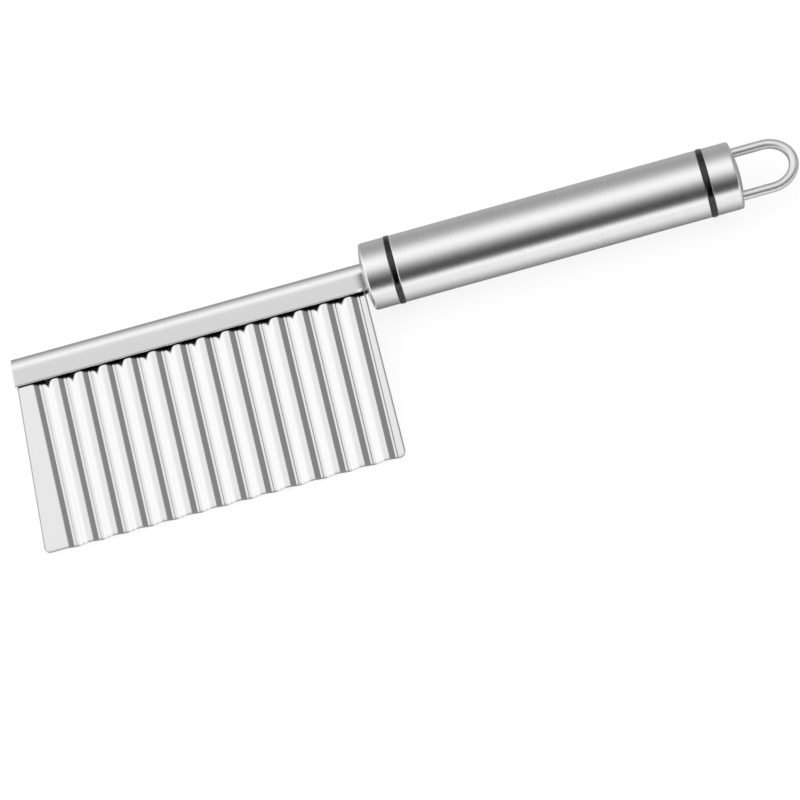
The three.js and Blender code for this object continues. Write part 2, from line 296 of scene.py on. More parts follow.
table_material, table_flow = surface("white_table")
to_camera = table_flow.node("ShaderNodeLightPath", output="Is Camera Ray")
mirrored = to_camera.output("Is Glossy Ray") + to_camera.output("Is Transmission Ray")
spot = table_flow.node("ShaderNodeTexCoord", output="Object")
spot_x = table_flow.node("ShaderNodeSeparateXYZ", {}, {"Vector": spot}, "X")
spot_y = spot_x.output("Y")
# painted shadow: the glow that the steel mirrors fades under the handle and behind the spine
under = spot_y.ramp(BEFORE_HANDLE, UNDER_HANDLE, "LINEAR") * spot_x.ramp(BEFORE_CAP, UNDER_CAP)
hidden = table_flow.math("MAXIMUM", under, spot_y.ramp(UNDER_SPINE, BEHIND_SPINE))
sheet_colour = to_camera.mix(MIRRORED_WHITE, TABLE_WHITE)
matt = table_flow.node("ShaderNodeBsdfDiffuse", {}, {"Color": sheet_colour})
mirrored_glow = mirrored * (1 - hidden) * MIRRORED_GLOW
glow = table_flow.node("ShaderNodeEmission", {}, {
    "Color": WHITE, "Strength": to_camera * TABLE_GLOW + mirrored_glow,
})
table_light = table_flow.node("ShaderNodeAddShader", {}, {0: matt, 1: glow})
table_flow.node("ShaderNodeOutputMaterial", {}, {"Surface": table_light})

half = TABLE_SIZE / 2
sheet_corners = ((-half, -half), (half, -half), (half, half), (-half, half))
table_mesh = bpy.data.meshes.new("table")
table_mesh.from_pydata([(x, y, -TABLE_DROP) for x, y in sheet_corners], [], [(0, 1, 2, 3)])
table_mesh.materials.append(table_material)
table = bpy.data.objects.new("table", table_mesh)
bpy.context.scene.collection.objects.link(table)
table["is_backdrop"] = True
print("table:", TABLE_SIZE, "m wide")

# %% [markdown]
# Steel gets its look from what it mirrors, so its nodes mostly say how well it mirrors: how bright, how
# rough, and along which lines it was ground. Grinding lines are noise that is stretched along the grind:
# very long one way and very fine the other. A Mapping node turns them to the tool's axes and sets their
# length and width. They change the roughness, the tone and, through a Bump node, the height of the surface
# a little. A piece can mark a part of itself with a value on its points, and the steel then has another
# tone and roughness there. On a blade's edges that is partly real, a rougher ground finish, and partly
# painted shade, a darker tone. The inside of the spine's fold gets a near-black tone, which is painted
# shade for the dark gap under the spine's rim.

# %% Grinding lines and smudges
SMUDGE_CELL = (14 * MM, 14 * MM, 14 * MM)
SMUDGE_DETAIL = 2
# Shares of the spread of tones that blue gets, so that the steel is a little cool
BLUE_IN_DARK, BLUE_IN_LIGHT = 0.94, 1.06
GROUND_AND_SHADED_EDGE = "ground_edge"
PAINTED_SHADE_INSIDE = "dark_inside"
# Name of the mark, with the tone and the roughness of the steel where it is 1
# partly real and partly painted: a rougher ground band on the blade's edges, with a darker tone that is
# painted shade
EDGE_AND_SHADE_MARK = (GROUND_AND_SHADED_EDGE, 0.36, 0.4)
# painted shade: the inside of the spine's fold gets a near-black tone, so that the gap under its rim reads
# as shadow
INSIDE_SHADE_MARK = (PAINTED_SHADE_INSIDE, 0.02, 0.6)


def stretched_noise(flow, cell, detail=4, roughness=0.6):
    """Noise from about 0 to 1 with cells of a given length, in metres, along each axis of the tool."""
    scale = Vector([1 / size for size in cell])
    coordinates = flow.node("ShaderNodeTexCoord", output="Object")
    place = flow.node("ShaderNodeMapping", {}, {
        "Vector": coordinates, "Rotation": (-tool_tilt, 0, 0), "Scale": scale,
    })
    noise = {"Vector": place, "Scale": 1.0, "Detail": detail, "Roughness": roughness}
    return flow.node("ShaderNodeTexNoise", {}, noise)


def bumped(flow, height, depth):
    """A normal for a relief of that height, from 0 to 1, and that depth in metres."""
    return flow.node("ShaderNodeBump", {}, {"Height": height, "Distance": depth})


def coated(flow, sockets):
    """End a material in a Principled shader with these sockets."""
    shader = flow.node("ShaderNodeBsdfPrincipled", {}, sockets)
    flow.node("ShaderNodeOutputMaterial", {}, {"Surface": shader})


def steel(name, tone, roughness, grind, relief, spread=0.06, wear=0.1, mark=None):
    """Ground steel: a grey tone, a mean roughness, the cell of its grinding lines and their depth."""
    material, flow = surface(name)
    lines = stretched_noise(flow, grind)
    smudges = stretched_noise(flow, SMUDGE_CELL, SMUDGE_DETAIL)
    dark = (tone - spread, tone - spread, tone - spread * BLUE_IN_DARK, 1)
    light = (tone + spread, tone + spread, tone + spread * BLUE_IN_LIGHT, 1)
    colour = lines.mix(dark, light)
    uneven = roughness * (1 - wear) + lines * (roughness * wear) + smudges * (roughness * wear)
    # a mark sets another tone and roughness, and the darker tones of both marks here are painted shade
    if mark:
        mark_name, mark_tone, mark_roughness = mark
        marked = flow.node("ShaderNodeAttribute", {"attribute_name": mark_name}, output="Fac")
        colour = marked.mix(colour, (mark_tone, mark_tone, mark_tone, 1))
        uneven = uneven + marked * (mark_roughness - roughness)
    coated(flow, {
        "Base Color": colour,
        "Metallic": 1.0,
        "Roughness": uneven,
        "Normal": bumped(flow, lines, relief),
    })
    return material


print("marks on the steel:", GROUND_AND_SHADED_EDGE, PAINTED_SHADE_INSIDE)

# %% [markdown]
# Seven finishes cover the tool. The handle is satin steel, brushed round and round. The blade is polished
# from the spine to the cutting edge, the spine along its length, and the wire along its legs. The rings
# are glossy black rubber, the hidden plugs are moulded plastic and the hidden tang and pins are steel as
# it comes from the mill. The five steels share one function and differ only in their numbers and marks.

# %% Finishes
satin_steel = steel("satin_steel", 0.8, 0.28, (0.5 * MM, 30 * MM, 30 * MM), 0.008 * MM)
blade_steel = steel(
    "blade_steel", 0.7, 0.13, (0.4 * MM, 60 * MM, 0.4 * MM), 0.0005 * MM, 0.015, mark=EDGE_AND_SHADE_MARK,
)
spine_steel = steel(
    "spine_steel", 0.74, 0.15, (30 * MM, 0.4 * MM, 0.4 * MM), 0.001 * MM, 0.02, mark=INSIDE_SHADE_MARK,
)
wire_steel = steel("wire_steel", 0.78, 0.4, (6 * MM, 0.5 * MM, 0.5 * MM), 0.002 * MM, 0.03)
mill_steel = steel("mill_steel", 0.5, 0.45, (20 * MM, 0.8 * MM, 0.8 * MM), 0.01 * MM, 0.08, 0.2)

# Tones of the patches and their blue, and the roughness without grain and what the grain adds, as shares
PATCH_DARK, PATCH_LIGHT, PATCH_LIGHT_BLUE = 0.6, 1.4, 1.45
PLAIN_SHARE, GRAIN_SHARE = 0.85, 0.3


def soft_black(name, tone, roughness, gloss, cell, depth):
    """Rubber or moulded plastic: nearly black, with a fine grain."""
    material, flow = surface(name)
    grain = stretched_noise(flow, (cell, cell, cell))
    patches = stretched_noise(flow, SMUDGE_CELL, SMUDGE_DETAIL)
    dark = (tone * PATCH_DARK, tone * PATCH_DARK, tone * PATCH_DARK, 1)
    light = (tone * PATCH_LIGHT, tone * PATCH_LIGHT, tone * PATCH_LIGHT_BLUE, 1)
    coated(flow, {
        "Base Color": patches.mix(dark, light),
        "Roughness": roughness * PLAIN_SHARE + grain * (roughness * GRAIN_SHARE),
        "Specular IOR Level": gloss,
        "Normal": bumped(flow, grain, depth),
    })
    return material


black_rubber = soft_black("black_rubber", 0.002, 0.12, 0.6, 0.35 * MM, 0.002 * MM)
black_plastic = soft_black("black_plastic", 0.025, 0.5, 0.5, 0.6 * MM, 0.02 * MM)
print("finishes:", ", ".join(material.name for material in bpy.data.materials))

# %% [markdown]
# Each finished piece is a plain mesh at the origin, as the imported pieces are, so a mesh that is drawn in
# the tool's axes is carried to the table before it becomes a piece. Smooth shading runs over every face,
# apart from edges that are sharper than a limit.

# %% From a mesh to a piece
SHARP_ANGLE = math.radians(35)
WELD = 0.0005 * MM


def plain_mesh(carrier):
    """Run the modifiers of an object and keep the result as its own mesh."""
    bpy.context.view_layer.update()
    depsgraph = bpy.context.evaluated_depsgraph_get()
    mesh = bpy.data.meshes.new_from_object(carrier.evaluated_get(depsgraph))
    carrier.modifiers.clear()
    carrier.data = mesh


def as_object(name, mesh):
    """A mesh as an object of the scene."""
    piece = bpy.data.objects.new(name, mesh)
    bpy.context.scene.collection.objects.link(piece)
    return piece


def closed_mesh(name, shape):
    """End a bmesh: merge doubles, turn every face outwards and make it an object."""
    bmesh.ops.remove_doubles(shape, verts=shape.verts, dist=WELD)
    bmesh.ops.dissolve_degenerate(shape, edges=shape.edges, dist=WELD)
    bmesh.ops.recalc_face_normals(shape, faces=shape.faces)
    mesh = bpy.data.meshes.new(name)
    shape.to_mesh(mesh)
    shape.free()
    return as_object(name, mesh)


def finished(piece, material, node):
    """Lay a piece that is drawn in the tool's axes on the table, and let it stand for a packed one."""
    mesh = piece.data
    mesh.transform(tool)
    mesh.materials.clear()
    mesh.materials.append(material)
    mesh.polygons.foreach_set("material_index", [0] * len(mesh.polygons))
    mesh.shade_smooth()
    mesh.set_sharp_from_angle(angle=SHARP_ANGLE)
    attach(piece, "root")
    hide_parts(node)
    mesh.calc_loop_triangles()
    print(f"{piece.name}: {len(mesh.loop_triangles)} triangles")
    return piece


# %% [markdown]
# The caps, the tube and the rings are round about the handle's axis, so each is a half section that is
# turned once round. A section is a list of places along the handle and radii, with arcs where a real edge
# is rounded. On the tube and the caps a narrow strip of faces beside an arc keeps the shading even. The
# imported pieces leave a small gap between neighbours. Here the steel grows into it up to the rings, so that
# the finished handle is closed.

# %% Turned pieces
TURN_STEPS = 160
ARC_STEPS = 7
SUPPORT = 0.25 * MM
WALL = 0.8 * MM


def arc(centre, radius, start, end, steps=ARC_STEPS):
    """Points of an arc in a half section, with angles in degrees from the handle's direction."""
    angles = [math.radians(start + (end - start) * i / steps) for i in range(steps + 1)]
    return [(centre[0] + radius * math.cos(a), centre[1] + radius * math.sin(a)) for a in angles]


def turned(name, section):
    """Turn a half section about the handle's axis. It closes on itself or starts and ends on the axis."""
    shape = bmesh.new()
    points = [shape.verts.new((place, 0, radius)) for place, radius in section]
    pairs = list(zip(points, points[1:]))
    if section[0][1] > 0:
        pairs.append((points[-1], points[0]))
    lines = [shape.edges.new(pair) for pair in pairs]
    bmesh.ops.spin(
        shape, geom=points + lines, cent=(0, 0, 0), axis=(1, 0, 0), angle=2 * math.pi, steps=TURN_STEPS,
        use_merge=True,
    )
    return closed_mesh(name, shape)


tube_low, tube_high = measure("handle_tube")
front_ring_low, front_ring_high = measure("front_ring")
rear_ring_low, rear_ring_high = measure("rear_ring")
front_crown = measure("front_cap")[0].x
rear_crown = measure("end_cap")[1].x
handle_radius = tube_high.z
bore_radius = handle_radius - WALL
gap = tube_low.x - front_ring_high.x
print(f"handle {handle_radius * 2 / MM:.1f} mm thick, gaps of {gap / MM:.2f} mm closed")

# %% [markdown]
# The tube is the grip. A plain cylinder would do for its shape, but the ends of a real one are rolled over
# a little, and that small round edge catches a thin bright line beside each ring, so it is a turned
# section too.

# %% Handle tube
TUBE_EDGE = 0.4 * MM
tube_start = front_ring_high.x
tube_end = rear_ring_low.x
tube_section = [
    (tube_start, bore_radius),
    *arc((tube_start + TUBE_EDGE, handle_radius - TUBE_EDGE), TUBE_EDGE, 180, 90),
    (tube_start + TUBE_EDGE + SUPPORT, handle_radius),
    (tube_end - TUBE_EDGE - SUPPORT, handle_radius),
    *arc((tube_end - TUBE_EDGE, handle_radius - TUBE_EDGE), TUBE_EDGE, 90, 0),
    (tube_end, bore_radius),
]
handle_grip = finished(turned("handle_grip", tube_section), satin_steel, "handle_tube")

# %% [markdown]
# A ring sits between a cap and the tube and stands a little proud of them, so the handle lies on its
# rings. Its outer edges are rounded, as moulded rubber is.

# %% Rings
RING_EDGE = 0.5 * MM


def ring(name, low, high, node):
    """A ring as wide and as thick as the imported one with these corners."""
    rim = high.z - RING_EDGE
    section = [
        (low.x, bore_radius),
        *arc((low.x + RING_EDGE, rim), RING_EDGE, 180, 90),
        *arc((high.x - RING_EDGE, rim), RING_EDGE, 90, 0),
        (high.x, bore_radius),
    ]
    return finished(turned(name, section), black_rubber, node)


front_ring = ring("front_grip_ring", front_ring_low, front_ring_high, "front_ring")
ring("rear_grip_ring", rear_ring_low, rear_ring_high, "rear_ring")

# %% [markdown]
# A cap is a cup, drawn from sheet, with a domed face and a tight edge round it. Both caps come from one
# function that draws the cup with its face at 0, facing backwards, and then sets each point on its place
# and side of the handle. The blade's last waves would mirror the front of the handle, and their dark
# stripes would break off below the spine, so the pieces there are hidden from mirrored rays.

# %% Caps
CAP_DOME = 48 * MM
CAP_EDGE = 1.1 * MM
MOUTH_EDGE = 0.2 * MM
MOUTH_STEPS = 3
DOME_STEPS = 14


def cap(name, crown, mouth, node):
    """A cup with the crown of its face and its mouth at these places along the handle."""
    side = math.copysign(1, mouth - crown)
    length = abs(mouth - crown)
    rim = math.degrees(math.asin((handle_radius - CAP_EDGE) / (CAP_DOME - CAP_EDGE)))
    edge_depth = CAP_DOME - (CAP_DOME - CAP_EDGE) * math.cos(math.radians(rim))
    face = arc((CAP_DOME, 0), CAP_DOME, 180, 180 - rim, DOME_STEPS)
    face[0] = (0, 0)
    section = [
        *face,
        *arc((edge_depth, handle_radius - CAP_EDGE), CAP_EDGE, 180 - rim, 90)[1:],
        (edge_depth + SUPPORT, handle_radius),
        (length - MOUTH_EDGE - SUPPORT, handle_radius),
        *arc((length - MOUTH_EDGE, handle_radius - MOUTH_EDGE), MOUTH_EDGE, 90, 0, MOUTH_STEPS),
        (length, bore_radius),
        (edge_depth + WALL, bore_radius),
        (edge_depth + WALL, 0),
    ]
    placed = [(crown + side * depth, radius) for depth, radius in section]
    return finished(turned(name, placed), satin_steel, node)


front_cap = cap("front_grip_cap", front_crown, front_ring_low.x, "front_cap")
cap("rear_grip_cap", rear_crown, rear_ring_high.x, "end_cap")
for piece in (front_cap, front_ring, handle_grip, frame["nodes"]["front_plug"], frame["nodes"]["tang"]):
    piece.visible_glossy = False

# %% [markdown]
# The spine is a strip folded over the blade's back. Its fold has a flat top with round shoulders and
# gently curved sides, and its two skirts close in from the fold to the rims, so a skirt faces a little
# downwards. A Solidify modifier would give a surface such a thickness too, but with square rims, and a cut
# strip is tumbled. So the section is drawn as pairs of points, one outside and one inside, from the front
# rim over the fold to the back rim.

# %% Section of the spine
SPINE_SHEET = 1 * MM
SIDE_RADIUS = 6.8 * MM
SHOULDER_RADIUS = 1.9 * MM
SHOULDER_ANGLE = math.radians(23)
FLAT_SUPPORT = 0.3 * MM
FLAT_DROP = 0.65 * MM
RIM_EDGE = 0.3 * MM
RIM_STEPS = 5
SKIRT_STEPS = 10
FOLD_STEPS = 14
spine_low, spine_high = measure("spine_channel")
spine_rim = spine_low.y
flare = mount_axes["spine_front_face"].angle(outward)
packed_fold = spine_high.z
# the shoulders stand higher in the picture than a round fold, so the top lies lower
fold_top = spine_high.y - FLAT_DROP
# the skirt keeps its packed plane
skirt_reach = packed_fold - (spine_high.y - packed_fold) * math.sin(flare)
radius_step = SIDE_RADIUS - SHOULDER_RADIUS
shoulder_height = fold_top - SHOULDER_RADIUS
side_height = shoulder_height - radius_step * math.sin(SHOULDER_ANGLE)
side_depth = (skirt_reach - SIDE_RADIUS + side_height * math.sin(flare)) / math.cos(flare)
shoulder_depth = side_depth + radius_step * math.cos(SHOULDER_ANGLE)


def inwards(point, normal, distance):
    """A point of the section, as (height, depth), moved into the sheet."""
    return (point[0] - normal[0] * distance, point[1] - normal[1] * distance)


def fold_pair(angle):
    """Outside and inside points of the fold where it faces that angle up from straight out."""
    normal = (math.sin(angle), math.cos(angle))
    if angle < SHOULDER_ANGLE:
        point = inwards((side_height, side_depth), normal, -SIDE_RADIUS)
    else:
        point = inwards((shoulder_height, shoulder_depth), normal, -SHOULDER_RADIUS)
    return [point, inwards(point, normal, SPINE_SHEET)]


def skirt_pair(run, outside, inside):
    """Points of the front skirt, that far below the fold and those distances into the sheet."""
    normal = (-math.sin(flare), math.cos(flare))
    start = fold_pair(-flare)[0]
    point = (start[0] - run * math.cos(flare), start[1] - run * math.sin(flare))
    return [inwards(point, normal, outside), inwards(point, normal, inside)]


def spine_pairs():
    """All pairs of the section, from the front rim over the fold to the back rim."""
    middle = skirt_pair(0, SPINE_SHEET / 2, SPINE_SHEET / 2)[0]
    skirt = (middle[0] - spine_rim) / math.cos(flare)
    front = []
    for i in range(RIM_STEPS):
        angle = math.radians(90 * i / RIM_STEPS)
        cut = RIM_EDGE * (1 - math.sin(angle))
        front.append(skirt_pair(skirt - RIM_EDGE * (1 - math.cos(angle)), cut, SPINE_SHEET - cut))
    for i in range(SKIRT_STEPS):
        front.append(skirt_pair((skirt - RIM_EDGE) * (1 - i / SKIRT_STEPS), 0, SPINE_SHEET))
    for start, end in ((-flare, SHOULDER_ANGLE), (SHOULDER_ANGLE, math.pi / 2)):
        for i in range(FOLD_STEPS):
            front.append(fold_pair(start + (end - start) * i / FOLD_STEPS))
    shoulder_end = fold_pair(math.pi / 2)
    flat_start = [(height, depth - FLAT_SUPPORT) for height, depth in shoulder_end]
    front += [shoulder_end, flat_start]
    back = [[(height, -depth) for height, depth in pair] for pair in reversed(front)]
    return front + back


print(f"flat top {2 * shoulder_depth / MM:.2f} mm wide")
print(f"skirts closing in by {math.degrees(flare):.1f} degrees")

# %% [markdown]
# The section is pushed along the blade. At the tip the strip is cut on the blade's own slant, and at the
# handle each point runs on until it meets the domed face of the front cap. Close to the cap the front
# skirt is nipped in, deepest a little above its rim, and shows as a soft dark dent. The inside points get
# a near-black tone, painted shade for the gap under the rim. A Bevel modifier breaks the sharp edges of the
# cut ends.

# %% Folded spine
TIP_LEAN = math.radians(3.8)
FACE_SINK = 0.05 * MM
NIP_DEPTH = 1.3 * MM
NIP_RUN = 3.8 * MM
NIP_HEIGHT = 0.5 * MM
NIP_STEPS = 12
TIP_SUPPORT = 0.8 * MM
BROKEN_EDGE = 0.25 * MM
BROKEN_ANGLE = math.radians(60)
BROKEN_STEPS = 3


def smooth(share):
    """A smooth step from 0 to 1."""
    share = min(max(share, 0), 1)
    return share * share * (3 - 2 * share)


def spine_point(tip_share, height, depth):
    """A point of the strip at a share of its length from the cap, where 1 is the tip."""
    tip = spine_low.x + (height - spine_rim) * math.tan(TIP_LEAN)
    heel = CAP_DOME - math.sqrt(CAP_DOME ** 2 - height ** 2 - depth ** 2) + FACE_SINK
    place = heel + tip_share * (tip - heel)
    above = (side_height - height) / (side_height - spine_rim - NIP_HEIGHT)
    below = (height - spine_rim) / NIP_HEIGHT
    nip = max(1 + place / NIP_RUN, 0) ** 2 * min(max(above, 0), 1) * smooth(below)
    return (place, height, depth - (nip * NIP_DEPTH if depth > 0 else 0))


def folded_spine(name):
    """The strip as rings of the section from the tip to the cap, with both ends closed."""
    pairs = spine_pairs()
    section = [pair[0] for pair in pairs] + [pair[1] for pair in reversed(pairs)]
    count = len(section)
    length = -spine_low.x
    shares = [1, 1 - TIP_SUPPORT / length]
    shares += [NIP_RUN / length * (1 - i / NIP_STEPS) for i in range(NIP_STEPS + 1)]
    shape = bmesh.new()
    mark = shape.verts.layers.float.new(PAINTED_SHADE_INSIDE)
    rings = [[shape.verts.new(spine_point(share, *point)) for point in section] for share in shares]
    # the inside points carry the painted shade, a near-black tone
    for points in rings:
        for point in points[len(pairs):]:
            point[mark] = 1
    for near, far in zip(rings, rings[1:]):
        for i in range(count):
            k = (i + 1) % count
            shape.faces.new((near[i], near[k], far[k], far[i]))
    for points in (rings[0], rings[-1]):
        for i in range(len(pairs) - 1):
            shape.faces.new((points[i], points[i + 1], points[count - 2 - i], points[count - 1 - i]))
    return closed_mesh(name, shape)


def break_edges(piece):
    """Break the sharp edges of a piece, as a file or a tumbler does."""
    bevel = piece.modifiers.new("broken_edges", "BEVEL")
    bevel.width = BROKEN_EDGE
    bevel.segments = BROKEN_STEPS
    bevel.limit_method = "ANGLE"
    bevel.angle_limit = BROKEN_ANGLE
    plain_mesh(piece)


spine = folded_spine("folded_spine")
break_edges(spine)
finished(spine, spine_steel, "spine_channel")

# %% [markdown]
# The blade is a main piece that follows a rule: a flat sheet whose depth is a cosine of the place along
# it, with flat margins at the tip and the heel. A geometry tree fits that well. It starts from a flat
# grid, makes it a closed slab by extruding it once, and then sends every point to its place by the rule.
# The press has left each wave lopsided: it falls over a longer share of the pitch than it rises, with a
# steeper flank on the way down and a fine step at the foot of it. The slab thins towards the cutting edge
# from the back, its two lower corners are rounded, and its outer edges are ground dull, with a darker tone
# there that is painted shade.

# %% Blade sizes
WAVE_COUNT = 14
WAVE_PITCH = 9.24 * MM
WAVE_DEPTH = 1.85 * MM
WAVE_LEAN = math.radians(1.1)
HEEL_LEAN = math.radians(0.5)
TIP_MARGIN = 4.3 * MM
HEEL_MARGIN = 1.65 * MM
FALL_SHARE = 0.57
MARGIN_COLUMNS = 24
COLUMNS_PER_WAVE = 84
BLADE_ROWS = 16
blade_low, blade_high = measure("blade")
wave_turns = WAVE_COUNT - 1 + FALL_SHARE
wave_columns = round(wave_turns * COLUMNS_PER_WAVE)
column_count = wave_columns + 2 * MARGIN_COLUMNS
heel_at_rim = spine_high.x - (blade_high.y - spine_rim) * math.tan(HEEL_LEAN)
last_trough = heel_at_rim - HEEL_MARGIN
first_crest = last_trough - wave_turns * WAVE_PITCH
blade_sizes = {
    "Top": blade_high.y, "Rim": spine_rim, "Edge": blade_low.y,
    "Tip": first_crest - TIP_MARGIN, "First crest": first_crest,
    "Last trough": last_trough, "Heel": heel_at_rim,
    "Tip slope": math.tan(TIP_LEAN), "Wave slope": math.tan(WAVE_LEAN), "Heel slope": math.tan(HEEL_LEAN),
    "Turns": wave_turns, "Pitch": WAVE_PITCH, "Depth": WAVE_DEPTH, "Fall share": FALL_SHARE,
    "Flank fall": 0.4 * MM, "Flank start": 1.24 * MM, "Flank end": 3.44 * MM,
    "Step fall": 0.19 * MM, "Step start": 4.12 * MM, "Step end": 4.78 * MM,
    "Sheet": 0.8 * MM, "Edge sheet": 0.2 * MM, "Bevel": 4 * MM, "Corner": 2.3 * MM,
    "Side band": 0.65 * MM, "Side fall": 0.25 * MM, "Edge band": 0.5 * MM, "Edge fall": 0.12 * MM,
    # how strongly the band at the cutting edge gets the rougher steel and its painted shade
    "Edge dullness and shade": 0.6,
    "Margin share": MARGIN_COLUMNS / column_count,
}
print(f"blade: {WAVE_COUNT} waves of {WAVE_PITCH / MM:.2f} mm, {column_count} columns")

# %% [markdown]
# A tree needs a few helpers: one opens it with named inputs, one closes it with the finish, and two keep a
# value on every point and recall it. Another runs a tree on an empty object and keeps the plain mesh.

# %% Helpers for geometry trees
def new_tree(name, sizes):
    """A geometry tree with one named input for each size and one for the finish."""
    tree = bpy.data.node_groups.new(name, "GeometryNodeTree")
    for size in sizes:
        tree.interface.new_socket(size, in_out="INPUT", socket_type="NodeSocketFloat")
    tree.interface.new_socket("Finish", in_out="INPUT", socket_type="NodeSocketMaterial")
    tree.interface.new_socket("Geometry", in_out="OUTPUT", socket_type="NodeSocketGeometry")
    flow = Flow(tree)
    entry = flow.node("NodeGroupInput")
    return flow, {size: entry.output(size) for size in (*sizes, "Finish")}


def end_tree(flow, geometry, finish):
    """Realize what the tree made, give it its finish and hand it out."""
    real = flow.node("GeometryNodeRealizeInstances", {}, {"Geometry": geometry})
    coloured = flow.node("GeometryNodeSetMaterial", {}, {"Geometry": real, "Material": finish})
    flow.node("NodeGroupOutput", {}, {0: coloured})
    return flow.tree


def stored(flow, geometry, name, value):
    """Keep a value on every point of a geometry under a name."""
    sockets = {"Geometry": geometry, "Name": name, "Value": value}
    return flow.node("GeometryNodeStoreNamedAttribute", {"data_type": "FLOAT", "domain": "POINT"}, sockets)


def recalled(flow, name):
    """The value that every point keeps under a name."""
    return flow.node("GeometryNodeInputNamedAttribute", {"data_type": "FLOAT"}, {"Name": name})


def grown(name, tree, sizes, finish):
    """Run a geometry tree with these sizes and keep the result as a plain mesh."""
    carrier = as_object(name, bpy.data.meshes.new(name))
    modifier = carrier.modifiers.new("grown", "NODES")
    modifier.node_group = tree
    values = {**sizes, "Finish": finish}
    for item in tree.interface.items_tree:
        if item.in_out == "INPUT":
            modifier[item.identifier] = values[item.name]
    plain_mesh(carrier)
    return carrier


# %% [markdown]
# A sheet of steel has two sides and four narrow edges. A Solidify modifier would thicken a surface evenly,
# but this sheet thins towards its cutting edge, so the slab is made first, while the grid is still a flat
# square of one unit. Each point keeps its shares along and up the blade and the side that it is on, and
# the rules find its place from them.

# %% Slab of the blade
FRONT = "front_side"
SHARE_ALONG = "share_along"
SHARE_UP = "share_up"
SLAB_LIFT = 0.1
SLAB_WELD = 0.00001


def blade_slab(flow):
    """A closed slab whose points know their shares along and up the blade, and their side."""
    sockets = {"Size X": 1.0, "Size Y": 1.0, "Vertices X": column_count + 1, "Vertices Y": BLADE_ROWS + 1}
    grid = flow.node("GeometryNodeMeshGrid", {}, sockets)
    position = flow.node("GeometryNodeInputPosition")
    across = flow.node("ShaderNodeSeparateXYZ", {}, {"Vector": position}, "X")
    sheet = stored(flow, grid, SHARE_ALONG, across + 0.5)
    sheet = stored(flow, sheet, SHARE_UP, across.output("Y") + 0.5)
    # one extrusion gives the front and the four narrow sides, and the flipped grid is the back
    sockets = {"Mesh": sheet, "Offset Scale": SLAB_LIFT, "Individual": False}
    front = flow.node("GeometryNodeExtrudeMesh", {}, sockets)
    front_side = stored(flow, front, FRONT, front.output("Top"))
    back_side = stored(flow, flow.node("GeometryNodeFlipFaces", {}, {"Mesh": sheet}), FRONT, 0.0)
    slab = flow.node("GeometryNodeJoinGeometry", {}, {"Geometry": [front_side, back_side]})
    return flow.node("GeometryNodeMergeByDistance", {}, {"Geometry": slab, "Distance": SLAB_WELD})


# %% [markdown]
# Now each point gets its place. The columns are shared out among the tip margin, the waves and the heel
# margin, and the rows run from the cutting edge up into the spine. One rule gives the height of the lower
# edge with its rounded corners, one the depth and the slope of the wave, and the last one sets the front
# and the back of the sheet square to that slope, thins it and marks the ground edges, rougher and darkened
# by painted shade.

# %% Rules of the blade
# The front falls off by no more than this share of the thickness
MOST_FALL = 0.6
# A ground band is fully dull, and fully darkened by the painted shade, from this value up
FULLY_DULL_AND_SHADED = 0.5


def column_shares(flow, size):
    """Shares of the tip margin, the waves and the heel margin, from 0 to 1 each."""
    column = recalled(flow, SHARE_ALONG)
    margin = size["Margin share"]
    tip = (column / margin).ramp(0, 1, "LINEAR")
    wave = ((column - margin) / (1 - 2 * margin)).ramp(0, 1, "LINEAR")
    heel = ((column - 1) / margin + 1).ramp(0, 1, "LINEAR")
    # columns crowd towards the two ends of the blade
    return tip * tip, wave, heel * (2 - heel)


def cutting_edge(flow, size, tip, heel):
    """Height of the lower edge, lifted where the corners are rounded."""
    drop = size["Rim"] - size["Edge"]
    tip_width = size["First crest"] - size["Tip"] + drop * (size["Tip slope"] - size["Wave slope"])
    heel_width = size["Heel"] - size["Last trough"] + drop * (size["Wave slope"] - size["Heel slope"])
    tip_inset = size["Corner"] - tip * tip_width
    heel_inset = size["Corner"] - (1 - heel) * heel_width
    inset = flow.math("MAXIMUM", flow.math("MAXIMUM", tip_inset, heel_inset), 0.0)
    lift = size["Corner"] - flow.math("SQRT", size["Corner"] * size["Corner"] - inset * inset)
    return size["Edge"] + lift


def wave_rule(flow, size, wave):
    """Depth of the sheet's middle and the slope of the wave."""
    run = flow.math("FRACT", wave * size["Turns"])
    falling = (run / size["Fall share"]).ramp(0, 1, "LINEAR")
    rising = ((run - size["Fall share"]) / (1 - size["Fall share"])).ramp(0, 1, "LINEAR")
    phase = (falling + rising) * math.pi
    place = run * size["Pitch"]
    # a ramp less the run starts and ends each wave at 0, so the waves still join
    flank = place.ramp(size["Flank start"], size["Flank end"], "LINEAR") - run
    step = place.ramp(size["Step start"], size["Step end"], "LINEAR") - run
    # the cosine swings less by what the flank and the step add, so the wave stays about as deep
    falls = (size["Flank fall"] + size["Step fall"]) * 0.5
    swing = (size["Depth"] - falls) * 0.5
    wave_depth = flow.math("COSINE", phase) * swing + falls * 0.5
    depth = wave_depth - flank * size["Flank fall"] - step * size["Step fall"]
    on_rise = flow.math("GREATER_THAN", run, size["Fall share"])
    half_wave = size["Pitch"] * (size["Fall share"] + on_rise * (1 - 2 * size["Fall share"]))
    slope = flow.math("SINE", phase) * swing * math.pi / half_wave
    return depth, slope


